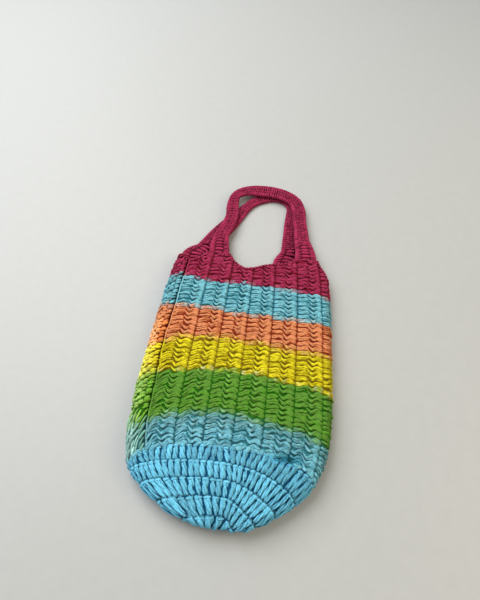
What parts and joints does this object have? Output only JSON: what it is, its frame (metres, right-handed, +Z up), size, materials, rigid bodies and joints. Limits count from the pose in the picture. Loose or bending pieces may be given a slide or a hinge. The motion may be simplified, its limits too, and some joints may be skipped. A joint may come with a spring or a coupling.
{
  "type": "crochet tote bag",
  "caption": "Round-based crochet tote bag with broad lengthwise ribs in bright yarn bands and strap handles, lying empty on its back.",
  "frame": {"origin": "middle of the surface that the bag lies on, under the middle of its bounding box", "axes": "+Y along the bag from the base to the handles, +X to the right as the front is seen, +Z up out of the front"},
  "size_m": [0.3206, 0.7, 0.0537],
  "materials": {
    "yarn_bands": "soft bulky yarn in bands of raspberry, sky blue, coral, yellow, green and sky blue",
    "yarn_sky": "soft bulky yarn, sky blue",
    "yarn_raspberry": "soft bulky yarn, raspberry"
  },
  "bodies": {
    "root": {"wall": "yarn_bands", "base": "yarn_sky", "handle_front": "yarn_raspberry", "handle_back": "yarn_raspberry"}
  },
  "joints": []
}
